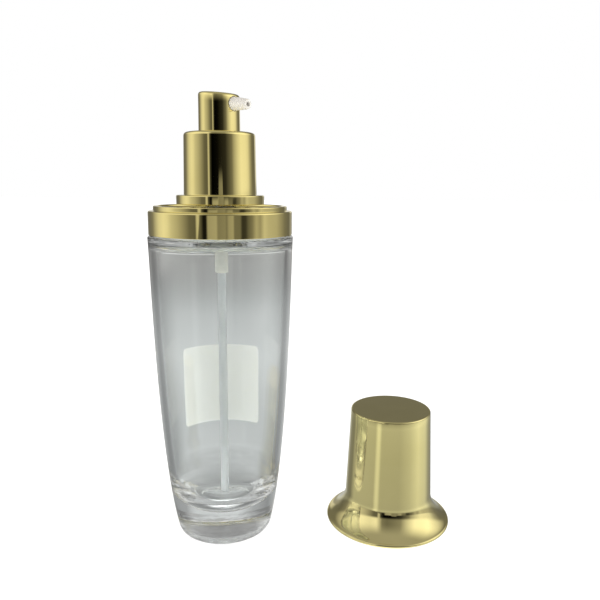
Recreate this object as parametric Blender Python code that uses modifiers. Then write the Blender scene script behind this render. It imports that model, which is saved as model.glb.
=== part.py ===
"""Clear glass foundation bottle with a gold treatment pump, and its gold overcap standing beside it.

Metres, +Z up. The bottle and the overcap both stand on z = 0 and the nozzle points front right.
"""

import math

import bmesh
import bpy

MM = 0.001

# ---- Facets ----
FACETS = 40
MID_FACETS = 24
SMALL_FACETS = 16
PORT_FACETS = 8

# ---- Running clearances (mm) ----
FIT_GAP = 0.1
GUIDE_GAP = 0.15
LINER_GAP = 0.3

# ---- Glass bottle (mm) ----
GLASS_WALL = 2.1
GLASS_SHOULDER_R = 20.95
GLASS_SHOULDER_Z = 89.8
GLASS_SHOULDER_TOP_Z = 90.55
GLASS_HEEL_R = 14.45
GLASS_HEEL_Z = 1.7
GLASS_FOOT_R = 13.1
GLASS_FOOT_WIDTH = 1.8
GLASS_PUSH_UP = 0.8
GLASS_PUSH_UP_R = 5.0
PUSH_UP_SIDE = (9.5, 0.45)
GLASS_FLOOR_Z = 8.3
GLASS_FLOOR_R = 8.6
BOWL_TURN = (13.3, 10.6)
STRAIGHT_WALL_FROM_Z = 19.0
STRAIGHT_WALL_TO_Z = 86.0
SHOULDER_INSIDE = ((18.2, 88.0), (16.3, 88.9), (8.2, 90.3), (6.4, 91.0))
SHOULDER_EDGE = ((19.6, GLASS_SHOULDER_TOP_Z + 0.1), (20.55, GLASS_SHOULDER_TOP_Z - 0.1))
SHOULDER_OUTSIDE = ((8.5, 92.6), (10.0, 92.3), *SHOULDER_EDGE)
BODY_CURVE = ((GLASS_SHOULDER_R, GLASS_SHOULDER_Z), (20.5, 86.6), (20.05, 26.0), (GLASS_HEEL_R, GLASS_HEEL_Z))

# ---- Neck finish, 18-415 (mm) ----
NECK_R = 7.8
NECK_BORE_R = 5.8
NECK_TOP_Z = 108.5
NECK_FOOT_Z = 93.2
NECK_BORE_FOOT_Z = 92.4
NECK_LIP_IN = 0.4
NECK_LIP_OUT = 0.5
THREAD_PITCH = 3.175
THREAD_CREST_R = 8.75
NECK_THREAD_Z = 102.0
NECK_THREAD_TURNS = 1.35
NECK_THREAD_HALF_WIDTHS = (1.0, 0.45)
NECK_THREAD_BITE = 0.3
CLOSURE_THREAD_TURNS = 1.25
CLOSURE_THREAD_START = 60.0
CLOSURE_THREAD_CREST_R = 8.25
CLOSURE_THREAD_HALF_WIDTHS = (0.85, 0.35)
CLOSURE_THREAD_BITE = 0.25

# ---- Shoulder ring (mm) ----
RING_R = 20.6
RING_BOTTOM_Z = 90.7
RING_TOP_Z = 97.4
RING_WALL = 0.5
RING_HOLE_R = 9.6
LIP_OUTER_R = 19.1
LIP_INNER_R = 17.9
LIP_TOP_Z = 98.8
DECK_Z = 98.1
DECK_DIP = 0.1
DECK_DIP_WIDTH = 3.0
LIP_ROOT_Z = 98.45
LIP_FILLET_IN = 0.15
LIP_FILLET_OUT = 0.25
RING_FILLET = 0.4
RING_FOOT_FILLET = 0.1
RING_LINER_DROP = 0.8
RING_LINER_FOOT_Z = 91.2
RING_LINER_WALL = 1.0
RING_LINER_HUB_R = 8.0
RING_LINER_HUB_WALL = 1.2
RING_LINER_HUB_FOOT_Z = 93.6

# ---- Closure: gold sleeve over a threaded plastic closure (mm) ----
SLEEVE_FOOT_R = 10.4
SLEEVE_TOP_R = 10.1
SLEEVE_TOP_Z = 119.1
SLEEVE_WALL = 0.4
SLEEVE_BEND_Z = 108.0
SLEEVE_ROOF = 1.0
SLEEVE_ROOF_FILLET = 0.6
SLEEVE_TOP_FILLET = 1.0
SLEEVE_HOLE_FILLET = 0.2
FLANGE_R = 12.55
FLANGE_BOTTOM_Z = 99.2
FLANGE_TOP_Z = 101.8
FLANGE_WALL = 0.45
FLANGE_TOP_FILLET = 0.35
FLANGE_FOOT_FILLET = 0.2
CLOSURE_R = 9.55
CLOSURE_BORE_R = 8.95
CLOSURE_TOP_Z = 111.8
CLOSURE_HOLE_R = 5.6

# ---- Pump (mm) ----
GASKET_R = 7.6
GASKET_BORE_R = 5.0
HOUSING_FLANGE_R = 7.4
HOUSING_FLANGE_HEIGHT = 1.0
HOUSING_TOP_Z = 110.5
HOUSING_R = 4.4
HOUSING_BORE_R = 3.35
CHAMBER_FLOOR_Z = 94.0
HOUSING_SHOULDER = ((HOUSING_R, 92.6), (4.0, 91.6), (2.0, 90.2))
TAIL_R = 1.9
TAIL_END_Z = 79.5
INLET_R = 0.8
INLET_TOP_Z = 91.2
SEAT_R = 1.9
SEAT_TOP_Z = 92.3
CAGE_TOP_Z = 95.2
CAGE_R = 2.1
CAGE_MOUTH_R = 1.42
CAGE_MOUTH_HEIGHT = 0.35
LOCK_RING_TOP_Z = 112.3
LOCK_RING_BOSS_R = 2.6
LOCK_RING_FLANGE_R = 5.2
LOCK_RING_FLANGE_Z = 111.5
LOCK_RING_FOOT_Z = 107.6
TUBE_R = 1.25
TUBE_BORE_R = 0.85
TUBE_TOP_Z = 88.7
TUBE_END_Z = 8.9
BALL_R = 1.5
BALL_Z = 92.67
STEM_R = 1.8
STEM_TOP_Z = 121.5
STEM_FOOT_Z = 106.2
STEM_BORE_R = 0.9
STEM_SKIRT_R = 2.7
STEM_SKIRT_TOP_Z = 107.1
STEM_SOCKET_TOP_Z = 110.4
STEM_SOCKET_CONE = 0.4
SKIRT_SLOPE = 0.2
ROD_R = 1.3
ROD_TOP_Z = 110.2
ROD_BORE_R = 0.6
ROD_BORE_FOOT_Z = 103.2
ROD_FLANGE_R = 2.9
ROD_FLANGE_Z = 101.5
ROD_FLANGE_HEIGHT = 1.0
ROD_TIP = ((1.5, ROD_FLANGE_Z), (1.2, 100.2))
ROD_PORT_R = 0.35
ROD_PORT_Z = 103.7
ROD_PORT_REACH = 2.0
PISTON_BORE_R = 1.45
PISTON_LIP_R = 3.2
PISTON_LIP_IN_R = 2.9
PISTON_WAIST = (3.0, 104.1)
PISTON_GROOVE_R = 2.5
PISTON_TOP_Z = 105.3
PISTON_TOP_GROOVE_Z = 104.5
PISTON_FOOT_Z = 102.7
PISTON_FOOT_LIP_Z = 102.8
PISTON_FOOT_GROOVE_Z = 103.5
PISTON_HUB_TOP_R = 2.2
PISTON_HUB_FOOT_R = 2.1
SPRING_R = 2.65
SPRING_WIRE_R = 0.22
SPRING_TURNS = 5.5

# ---- Actuator head (mm) ----
HEAD_R = 5.88
HEAD_TOP_R = 5.8
HEAD_BOTTOM_Z = 117.4
HEAD_TOP_Z = 129.8
HEAD_WALL = 0.5
HEAD_ROOF = 1.0
HEAD_BEND_Z = 126.0
HEAD_TOP_FILLET = 0.95
HEAD_FOOT_FILLET = 0.15
HEAD_SLOPE = math.radians(4.8)
HEAD_SLOPE_FROM_Z = 128.2
HEAD_HOLE_R = 6.3
CORE_DROP = 1.3
CORE_FOOT_Z = 117.9
CORE_POCKET_Z = 119.0
CORE_POCKET_R = 4.5
CORE_SOCKET_R = 3.0
CORE_WELL_R = 0.8
CORE_WELL_TOP = 0.4
CORE_CHANNEL_R = 0.55
NOZZLE_CUT_FROM = 4.0
NOZZLE_CUT_TO = 8.0
NOZZLE_ANGLE = math.radians(-37.0)
NOZZLE_Z = 127.1
NOZZLE_ROOT_R = 1.9
NOZZLE_TIP_R = 1.35
NOZZLE_START = 2.9
NOZZLE_COLLAR = 5.45
NOZZLE_END = 11.0
NOZZLE_SEAT_R = 1.35
NOZZLE_BORE_R = 0.6
NOZZLE_BORE_FILLET = 0.15
NOZZLE_TIP_FILLET = 0.35

# ---- Overcap (mm) ----
CAP_X = 51.8
CAP_Y = 3.85
CAP_HEIGHT = 36.3
CAP_TOP_R = 12.28
CAP_WAIST_R = 13.42
CAP_WAIST_Z = 9.5
CAP_RIM_R = 19.3
CAP_RIM_HEIGHT = 1.05
CAP_WALL = 1.15
CAP_FILLET = 0.5
CAP_INSIDE_WAIST_Z = 9.2
CAP_FLARE_TURNS = ((13.36, 5.41), (17.0, 1.72))
CAP_HOLLOW_TURNS = ((15.6, 0.75), (12.35, 3.6))
CAP_HOLLOW_EDGE = 1.0
CAP_RIM_POINTS = ((0.08, 0.85), (0.0, 0.5), (0.08, 0.15), (0.3, 0.0))
CAP_RIM_SET_BACK = 0.4
CAP_LINER_R = 11.75
CAP_LINER_BORE_R = 10.5
CAP_LINER_TOP_Z = 19.0
CAP_LINER_FOOT_Z = 5.6
CAP_LINER_LEAD_IN = (0.3, 0.6)

# ---- Back label (mm) ----
LABEL_MID_ANGLE = math.radians(99.8)
LABEL_WIDTH = 29.2
LABEL_BOTTOM_Z = 27.1
LABEL_TOP_Z = 52.8
LABEL_CORNER = 1.5
LABEL_GAP = 0.1
LABEL_THICKNESS = 0.1

# ---- The origin is the middle of the whole set on the table ----
SET_X = -(CAP_X + CAP_RIM_R - GLASS_SHOULDER_R) / 2
SET_Y = -(CAP_Y + CAP_RIM_R - GLASS_SHOULDER_R) / 2


def clear_scene():
    for obj in list(bpy.data.objects):
        bpy.data.objects.remove(obj, do_unlink=True)
    for block in list(bpy.data.meshes) + list(bpy.data.curves):
        if block.users == 0:
            (bpy.data.meshes if isinstance(block, bpy.types.Mesh) else bpy.data.curves).remove(block)


def new_collection(name):
    group = bpy.data.collections.new(name)
    bpy.context.scene.collection.children.link(group)
    return group


def empty(name, location, parent=None):
    obj = bpy.data.objects.new(name, None)
    obj.location = [c * MM for c in location]
    obj.parent = parent
    PARTS.objects.link(obj)
    return obj


def look(name, color, metallic=0.0, roughness=0.4, transmission=0.0):
    mat = bpy.data.materials.new(name)
    mat.use_nodes = True
    shader = mat.node_tree.nodes["Principled BSDF"]
    shader.inputs["Base Color"].default_value = (*color, 1.0)
    shader.inputs["Metallic"].default_value = metallic
    shader.inputs["Roughness"].default_value = roughness
    shader.inputs["Transmission Weight"].default_value = transmission
    mat.diffuse_color = (*color, 1.0)
    return mat


GOLD = {"color": (0.80, 0.68, 0.32), "metallic": 1.0, "roughness": 0.08}
IVORY = {"color": (0.86, 0.85, 0.80), "roughness": 0.45}
CLEAR = {"color": (0.93, 0.95, 0.95), "roughness": 0.02, "transmission": 0.9}
FILM = {"color": (0.90, 0.91, 0.86), "roughness": 0.5}
STEEL = {"color": (0.66, 0.67, 0.68), "metallic": 1.0, "roughness": 0.25}
MILKY = {"color": (0.92, 0.93, 0.92), "roughness": 0.3}


def rounded(corners, steps=2):
    """Profile points for (radius, height, fillet) corners; a fillet of 0 stays sharp."""
    points = []
    for i, (r, z, fillet) in enumerate(corners):
        if fillet == 0:
            points.append((r, z))
            continue
        before = corners[i - 1]
        after = corners[(i + 1) % len(corners)]
        points.extend(corner_arc((before[0], before[1]), (r, z), (after[0], after[1]), fillet, steps))
    return points


def corner_arc(before, corner, after, fillet, steps):
    """A quadratic arc that leaves and meets both sides of a corner at the fillet's length."""
    def along(target):
        dr, dz = target[0] - corner[0], target[1] - corner[1]
        share = fillet / math.hypot(dr, dz)
        return corner[0] + dr * share, corner[1] + dz * share

    start, end = along(before), along(after)
    arc = []
    for k in range(steps + 1):
        t = k / steps
        arc.append(tuple((1 - t) ** 2 * s + 2 * t * (1 - t) * c * 0.9 + 2 * t * (1 - t) * (s + e) / 2 * 0.1
                         + t * t * e for s, c, e in zip(start, corner, end)))
    return arc


def bezier(controls, steps):
    """Points on a cubic curve through its first and last control."""
    points = []
    for k in range(steps + 1):
        t = k / steps
        weights = ((1 - t) ** 3, 3 * t * (1 - t) ** 2, 3 * t * t * (1 - t), t ** 3)
        points.append(tuple(sum(w * c[a] for w, c in zip(weights, controls)) for a in (0, 1)))
    return points


def radius_at(points, height):
    """Radius of a profile at a height, between the two points around it."""
    for (r0, z0), (r1, z1) in zip(points, points[1:]):
        low, high = min(z0, z1), max(z0, z1)
        if low <= height <= high:
            return r0 + (r1 - r0) * (height - z0) / (z1 - z0)
    return points[-1][0]


def turned(name, profile, facets, finish, parent, closed=True, home=None):
    """A turned piece: its profile, in mm, swept once round Z."""
    mesh = bpy.data.meshes.new(name)
    edges = [(i, i + 1) for i in range(len(profile) - 1)]
    if closed:
        edges.append((len(profile) - 1, 0))
    mesh.from_pydata([(r * MM, 0.0, z * MM) for r, z in profile], edges, [])
    obj = bpy.data.objects.new(name, mesh)
    (home or PARTS).objects.link(obj)
    obj.parent = parent
    sweep = obj.modifiers.new("Turn", "SCREW")
    sweep.axis = "Z"
    sweep.angle = 2 * math.pi
    sweep.steps = facets
    sweep.render_steps = facets
    sweep.use_merge_vertices = True
    sweep.merge_threshold = 0.00001
    sweep.use_smooth_shade = True
    if finish:
        mesh.materials.append(look(name, **finish))
    return obj


def solid_mesh(name, bm, finish, parent, home=None):
    bmesh.ops.recalc_face_normals(bm, faces=bm.faces)
    mesh = bpy.data.meshes.new(name)
    bm.to_mesh(mesh)
    bm.free()
    obj = bpy.data.objects.new(name, mesh)
    (home or PARTS).objects.link(obj)
    obj.parent = parent
    if finish:
        mesh.materials.append(look(name, **finish))
    return obj


def combine(obj, tool, operation):
    """Boolean a hidden tool into a piece."""
    tool.hide_render = True
    tool.display_type = "WIRE"
    step = obj.modifiers.new("Cut " + tool.name, "BOOLEAN")
    step.operation = operation
    step.solver = "EXACT"
    step.object = tool


def thread_ridge(name, root_r, crest_r, half_widths, start_z, start_angle, turns, parent):
    """A right-hand helical ridge of trapezoid section that runs out at both ends."""
    root_half, crest_half = half_widths
    per_turn = 32
    count = round(turns * per_turn)
    run_out = per_turn // 6
    bm = bmesh.new()
    rows = []
    for k in range(count + 1):
        height = min(1.0, 0.05 + min(k, count - k) / run_out)
        crest = root_r + (crest_r - root_r) * height
        turn = k / per_turn
        angle = math.radians(start_angle) + 2 * math.pi * turn
        z = start_z + THREAD_PITCH * (turn + start_angle / 360)
        section = ((root_r, -root_half), (crest, -crest_half), (crest, crest_half), (root_r, root_half))
        rows.append([bm.verts.new((r * math.cos(angle) * MM, r * math.sin(angle) * MM, (z + dz) * MM))
                     for r, dz in section])
    for row, after in zip(rows, rows[1:]):
        for i in range(4):
            j = (i + 1) % 4
            bm.faces.new((row[i], row[j], after[j], after[i]))
    bm.faces.new(rows[0])
    bm.faces.new(rows[-1])
    return solid_mesh(name, bm, None, parent, TOOLS)


def body_profile():
    """The glass body's outer side, from the shoulder down to the heel."""
    return bezier(BODY_CURVE, 10)


def inner_side():
    """The cavity's side, one wall inside the body and rounded into the thick floor."""
    rows = 8
    wall = []
    for k in range(rows + 1):
        z = STRAIGHT_WALL_FROM_Z + (STRAIGHT_WALL_TO_Z - STRAIGHT_WALL_FROM_Z) * k / rows
        wall.append((radius_at(body_profile(), z) - GLASS_WALL, z))
    bowl = bezier(((0.0, GLASS_FLOOR_Z), (GLASS_FLOOR_R, GLASS_FLOOR_Z), BOWL_TURN, wall[0]), 8)
    return bowl[:-1] + wall


def glass_bottle(parent):
    bore_foot = (NECK_BORE_R, NECK_BORE_FOOT_Z, 0)
    neck = rounded([bore_foot, (NECK_BORE_R, NECK_TOP_Z, NECK_LIP_IN), (NECK_R, NECK_TOP_Z, NECK_LIP_OUT),
                    (NECK_R, NECK_FOOT_Z, 0)])
    heel = [(GLASS_HEEL_R - 0.3, 0.8), (GLASS_FOOT_R + 0.6, 0.15), (GLASS_FOOT_R, 0.0)]
    foot = [(GLASS_FOOT_R - GLASS_FOOT_WIDTH, 0.0), PUSH_UP_SIDE, (GLASS_PUSH_UP_R, GLASS_PUSH_UP),
            (0.0, GLASS_PUSH_UP)]
    inside = inner_side() + list(SHOULDER_INSIDE)
    outside = list(SHOULDER_OUTSIDE) + body_profile() + heel + foot
    bottle = turned("glass_bottle", inside + neck + outside, FACETS, CLEAR, parent, closed=False)
    ridge = thread_ridge("tool_neck_thread", NECK_R - NECK_THREAD_BITE, THREAD_CREST_R, NECK_THREAD_HALF_WIDTHS,
                         NECK_THREAD_Z, 0.0, NECK_THREAD_TURNS, parent)
    combine(bottle, ridge, "UNION")
    return bottle


def label_columns():
    """Distances along the label's width, closer together at the rounded corners."""
    near = [0.0, 0.15, 0.5, 1.0, LABEL_CORNER]
    middle = [LABEL_CORNER + (LABEL_WIDTH - 2 * LABEL_CORNER) * k / 10 for k in range(1, 10)]
    return near + middle + [LABEL_WIDTH - s for s in reversed(near)]


def back_label(parent):
    """A blank film wrapped on the outside of the glass behind the tube."""
    rows = 6
    side = body_profile()
    bm = bmesh.new()
    grid = []
    for s in label_columns():
        edge = min(s, LABEL_WIDTH - s, LABEL_CORNER)
        inset = LABEL_CORNER - math.sqrt(LABEL_CORNER ** 2 - (LABEL_CORNER - edge) ** 2)
        column = []
        for k in range(rows + 1):
            z = LABEL_BOTTOM_Z + inset + (LABEL_TOP_Z - LABEL_BOTTOM_Z - 2 * inset) * k / rows
            r = radius_at(side, z) + LABEL_GAP
            angle = LABEL_MID_ANGLE + (s - LABEL_WIDTH / 2) / r
            column.append(bm.verts.new((r * math.cos(angle) * MM, r * math.sin(angle) * MM, z * MM)))
        grid.append(column)
    for left, right in zip(grid, grid[1:]):
        for k in range(rows):
            bm.faces.new((left[k], left[k + 1], right[k + 1], right[k]))
    for face in bm.faces:
        face.smooth = True
    label = solid_mesh("back_label", bm, FILM, parent)
    thick = label.modifiers.new("Film", "SOLIDIFY")
    thick.thickness = LABEL_THICKNESS * MM
    outward = label.data.polygons[0].normal.y * label.data.polygons[0].center.y > 0
    thick.offset = 1.0 if outward else -1.0
    return label


def shoulder_ring(parent):
    """Gold ring with a lip round a sunk deck; open below, over its liner."""
    inner_r = RING_R - RING_WALL
    under_z = RING_TOP_Z - RING_WALL
    profile = rounded([
        (RING_HOLE_R, DECK_Z, 0), (LIP_INNER_R - DECK_DIP_WIDTH, DECK_Z - DECK_DIP, 0), (LIP_INNER_R, LIP_ROOT_Z, 0),
        (LIP_INNER_R, LIP_TOP_Z, LIP_FILLET_IN), (LIP_OUTER_R, LIP_TOP_Z, LIP_FILLET_OUT),
        (LIP_OUTER_R, RING_TOP_Z + FIT_GAP, 0), (RING_R, RING_TOP_Z, RING_FILLET),
        (RING_R, RING_BOTTOM_Z, RING_FOOT_FILLET), (inner_r, RING_BOTTOM_Z, 0), (inner_r, under_z, 0),
        (RING_HOLE_R, under_z, 0),
    ])
    return turned("shoulder_ring", profile, FACETS, GOLD, parent)


def shoulder_ring_liner(parent):
    """Plastic collar that grips the neck and carries the gold ring."""
    outer_r = RING_R - RING_WALL - LINER_GAP
    inner_r = outer_r - RING_LINER_WALL
    hub_r = RING_LINER_HUB_R + RING_LINER_HUB_WALL
    top_z = RING_TOP_Z - RING_LINER_DROP
    under_z = top_z - RING_LINER_WALL
    profile = [
        (RING_LINER_HUB_R, top_z), (outer_r, top_z), (outer_r, RING_LINER_FOOT_Z), (inner_r, RING_LINER_FOOT_Z),
        (inner_r, under_z), (hub_r, under_z), (hub_r, RING_LINER_HUB_FOOT_Z),
        (RING_LINER_HUB_R, RING_LINER_HUB_FOOT_Z),
    ]
    return turned("shoulder_ring_liner", profile, FACETS, IVORY, parent)


def closure_sleeve(parent):
    """Drawn gold sleeve with a brim at its foot and a hole for the head in its top."""
    inner_foot = SLEEVE_FOOT_R - SLEEVE_WALL
    inner_top = SLEEVE_TOP_R - SLEEVE_WALL
    inner_brim = FLANGE_R - FLANGE_WALL
    roof_z = SLEEVE_TOP_Z - SLEEVE_ROOF
    under_z = FLANGE_TOP_Z - FLANGE_WALL
    profile = rounded([
        (HEAD_HOLE_R, SLEEVE_TOP_Z, SLEEVE_HOLE_FILLET), (SLEEVE_TOP_R, SLEEVE_TOP_Z, SLEEVE_TOP_FILLET),
        (SLEEVE_TOP_R, SLEEVE_BEND_Z, 0), (SLEEVE_FOOT_R, FLANGE_TOP_Z, 0),
        (FLANGE_R, FLANGE_TOP_Z, FLANGE_TOP_FILLET), (FLANGE_R, FLANGE_BOTTOM_Z, FLANGE_FOOT_FILLET),
        (inner_brim, FLANGE_BOTTOM_Z, 0), (inner_brim, under_z, 0), (inner_foot, under_z, 0),
        (inner_top, SLEEVE_BEND_Z, 0), (inner_top, roof_z, SLEEVE_ROOF_FILLET), (HEAD_HOLE_R, roof_z, 0),
    ], 3)
    return turned("closure_sleeve", profile, FACETS, GOLD, parent)


def screw_closure(parent):
    """Threaded plastic closure inside the sleeve; its top wall holds the pump on the neck."""
    foot_r = FLANGE_R - FLANGE_WALL - LINER_GAP
    brim_z = FLANGE_TOP_Z - FLANGE_WALL - LINER_GAP
    foot_z = FLANGE_BOTTOM_Z + LINER_GAP
    roof_z = HOUSING_TOP_Z + FIT_GAP
    profile = [
        (CLOSURE_HOLE_R, CLOSURE_TOP_Z), (CLOSURE_R, CLOSURE_TOP_Z), (CLOSURE_R, brim_z), (foot_r, brim_z),
        (foot_r, foot_z), (CLOSURE_BORE_R, foot_z), (CLOSURE_BORE_R, roof_z), (CLOSURE_HOLE_R, roof_z),
    ]
    closure = turned("screw_closure", profile, FACETS, IVORY, parent)
    ridge = thread_ridge("tool_closure_thread", CLOSURE_BORE_R + CLOSURE_THREAD_BITE, CLOSURE_THREAD_CREST_R,
                         CLOSURE_THREAD_HALF_WIDTHS, NECK_THREAD_Z - THREAD_PITCH / 2, CLOSURE_THREAD_START,
                         CLOSURE_THREAD_TURNS, parent)
    combine(closure, ridge, "UNION")
    return closure


def neck_gasket(parent):
    """Foam washer between the neck's rim and the housing's flange."""
    top_z = HOUSING_TOP_Z - HOUSING_FLANGE_HEIGHT - FIT_GAP
    foot_z = NECK_TOP_Z + FIT_GAP
    profile = [(GASKET_BORE_R, top_z), (GASKET_R, top_z), (GASKET_R, foot_z), (GASKET_BORE_R, foot_z)]
    return turned("neck_gasket", profile, MID_FACETS, MILKY, parent)


def pump_housing(parent):
    """Barrel with a flange, a chamber, a ball seat and a tail that holds the dip tube."""
    flange_z = HOUSING_TOP_Z - HOUSING_FLANGE_HEIGHT
    socket_r = TUBE_R + FIT_GAP
    outside = [
        (HOUSING_BORE_R, HOUSING_TOP_Z), (HOUSING_FLANGE_R, HOUSING_TOP_Z), (HOUSING_FLANGE_R, flange_z),
        (HOUSING_R, flange_z), *HOUSING_SHOULDER, (TAIL_R, TAIL_END_Z),
    ]
    socket = [
        (socket_r, TAIL_END_Z), (socket_r, TUBE_TOP_Z + 2 * FIT_GAP), (INLET_R, TUBE_TOP_Z + 5 * FIT_GAP),
        (INLET_R, INLET_TOP_Z), (SEAT_R, SEAT_TOP_Z),
    ]
    cage = [
        (SEAT_R, CAGE_TOP_Z - 2 * CAGE_MOUTH_HEIGHT), (CAGE_MOUTH_R, CAGE_TOP_Z - CAGE_MOUTH_HEIGHT),
        (CAGE_MOUTH_R, CAGE_TOP_Z), (CAGE_R, CAGE_TOP_Z), (CAGE_R, CHAMBER_FLOOR_Z),
        (HOUSING_BORE_R, CHAMBER_FLOOR_Z),
    ]
    return turned("pump_housing", outside + socket + cage, MID_FACETS, IVORY, parent)


def housing_lock_ring(parent):
    """Collar snapped into the housing's mouth that guides and stops the stem."""
    guide_r = STEM_R + GUIDE_GAP
    plug_r = HOUSING_BORE_R - GUIDE_GAP
    seat_z = HOUSING_TOP_Z + FIT_GAP
    profile = [
        (guide_r, LOCK_RING_TOP_Z), (LOCK_RING_BOSS_R, LOCK_RING_TOP_Z), (LOCK_RING_BOSS_R, LOCK_RING_FLANGE_Z),
        (LOCK_RING_FLANGE_R, LOCK_RING_FLANGE_Z), (LOCK_RING_FLANGE_R, seat_z), (plug_r, seat_z),
        (plug_r, LOCK_RING_FOOT_Z), (guide_r, LOCK_RING_FOOT_Z),
    ]
    return turned("housing_lock_ring", profile, MID_FACETS, IVORY, parent)


def dip_tube(parent):
    profile = [(TUBE_BORE_R, TUBE_TOP_Z), (TUBE_R, TUBE_TOP_Z), (TUBE_R, TUBE_END_Z), (TUBE_BORE_R, TUBE_END_Z)]
    return turned("dip_tube", profile, SMALL_FACETS, MILKY, parent)


def check_ball(parent):
    steps = 10
    arc = [math.pi * k / steps for k in range(steps + 1)]
    profile = [(BALL_R * math.sin(a), BALL_Z + BALL_R * math.cos(a)) for a in arc]
    return turned("check_ball", profile, SMALL_FACETS, STEEL, parent, closed=False)


def return_spring(parent):
    """Compression spring between the chamber floor and the rod's flange."""
    per_turn = 16
    low_z = CHAMBER_FLOOR_Z + FIT_GAP + SPRING_WIRE_R
    high_z = ROD_FLANGE_Z - FIT_GAP - SPRING_WIRE_R
    count = round(SPRING_TURNS * per_turn)
    curve = bpy.data.curves.new("return_spring", "CURVE")
    curve.dimensions = "3D"
    curve.bevel_depth = SPRING_WIRE_R * MM
    curve.bevel_resolution = 1
    curve.use_fill_caps = True
    path = curve.splines.new("POLY")
    path.points.add(count)
    for k, point in enumerate(path.points):
        angle = 2 * math.pi * k / per_turn
        z = low_z + (high_z - low_z) * k / count
        point.co = (SPRING_R * math.cos(angle) * MM, SPRING_R * math.sin(angle) * MM, z * MM, 1.0)
    path.use_smooth = True
    curve.materials.append(look("return_spring", **STEEL))
    obj = bpy.data.objects.new("return_spring", curve)
    PARTS.objects.link(obj)
    obj.parent = parent
    return obj


def stem(parent):
    """Hollow stem: a skirt that pushes the piston, and a top that carries the head."""
    socket_r = ROD_R + FIT_GAP
    profile = [
        (STEM_BORE_R, STEM_TOP_Z), (STEM_R, STEM_TOP_Z), (STEM_R, STEM_SKIRT_TOP_Z + SKIRT_SLOPE),
        (STEM_SKIRT_R, STEM_SKIRT_TOP_Z), (STEM_SKIRT_R, STEM_FOOT_Z), (socket_r, STEM_FOOT_Z),
        (socket_r, STEM_SOCKET_TOP_Z), (STEM_BORE_R, STEM_SOCKET_TOP_Z + STEM_SOCKET_CONE),
    ]
    return turned("stem", profile, SMALL_FACETS, IVORY, parent)


def piston_rod(parent):
    """Rod with a side port, a flange that closes the piston and a blind bore up to the stem."""
    flange_top = ROD_FLANGE_Z + ROD_FLANGE_HEIGHT
    profile = [
        (0.0, ROD_BORE_FOOT_Z), (ROD_BORE_R, ROD_BORE_FOOT_Z), (ROD_BORE_R, ROD_TOP_Z), (ROD_R, ROD_TOP_Z),
        (ROD_R, flange_top + FIT_GAP), (ROD_FLANGE_R, flange_top), (ROD_FLANGE_R, ROD_FLANGE_Z), *ROD_TIP,
        (0.0, ROD_TIP[-1][1]),
    ]
    rod = turned("piston_rod", profile, SMALL_FACETS, IVORY, parent, closed=False)
    drill = [(0.0, ROD_PORT_REACH), (ROD_PORT_R, ROD_PORT_REACH), (ROD_PORT_R, -ROD_PORT_REACH),
             (0.0, -ROD_PORT_REACH)]
    port = turned("tool_rod_port", drill, PORT_FACETS, None, parent, closed=False, home=TOOLS)
    port.location = (0.0, 0.0, ROD_PORT_Z * MM)
    port.rotation_euler = (0.0, math.radians(90.0), 0.0)
    combine(rod, port, "DIFFERENCE")
    return rod


def piston(parent):
    """Sealing piston with a lip at each end."""
    upper = [
        (PISTON_BORE_R, PISTON_TOP_Z), (PISTON_HUB_TOP_R, PISTON_TOP_Z), (PISTON_GROOVE_R, PISTON_TOP_GROOVE_Z),
        (PISTON_LIP_IN_R, PISTON_TOP_Z), (PISTON_LIP_R, PISTON_TOP_Z), PISTON_WAIST,
    ]
    lower = [
        (PISTON_LIP_R, PISTON_FOOT_LIP_Z), (PISTON_LIP_IN_R, PISTON_FOOT_LIP_Z),
        (PISTON_GROOVE_R, PISTON_FOOT_GROOVE_Z), (PISTON_HUB_FOOT_R, PISTON_FOOT_Z), (PISTON_BORE_R, PISTON_FOOT_Z),
    ]
    return turned("piston", upper + lower, SMALL_FACETS, MILKY, parent)


def nozzle_tool(name, radius, start, end, parent):
    """A plain rod along the nozzle's axis, used to cut its seat."""
    tool = turned(name, [(0.0, end), (radius, end), (radius, start), (0.0, start)], SMALL_FACETS, None, parent,
                  closed=False, home=TOOLS)
    lay_along_nozzle(tool)
    return tool


def lay_along_nozzle(obj):
    """Turn a piece's own Z to the nozzle's direction, at the nozzle's height."""
    obj.location = (0.0, 0.0, NOZZLE_Z * MM)
    obj.rotation_euler = (0.0, math.radians(90.0) + HEAD_SLOPE, NOZZLE_ANGLE)


def tipped_top(name, profile, facets, finish, parent):
    """A turned piece whose top slopes down towards the nozzle."""
    blank = turned("tool_" + name, profile, facets, None, parent, closed=False, home=TOOLS)
    bpy.context.view_layer.update()
    mesh = bpy.data.meshes.new_from_object(blank.evaluated_get(bpy.context.evaluated_depsgraph_get()))
    bpy.data.objects.remove(blank, do_unlink=True)
    for vert in mesh.vertices:
        if vert.co.z > HEAD_SLOPE_FROM_Z * MM:
            ahead = vert.co.x * math.cos(NOZZLE_ANGLE) + vert.co.y * math.sin(NOZZLE_ANGLE)
            vert.co.z -= math.tan(HEAD_SLOPE) * ahead
    mesh.name = name
    mesh.materials.append(look(name, **finish))
    obj = bpy.data.objects.new(name, mesh)
    PARTS.objects.link(obj)
    obj.parent = parent
    return obj


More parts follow.
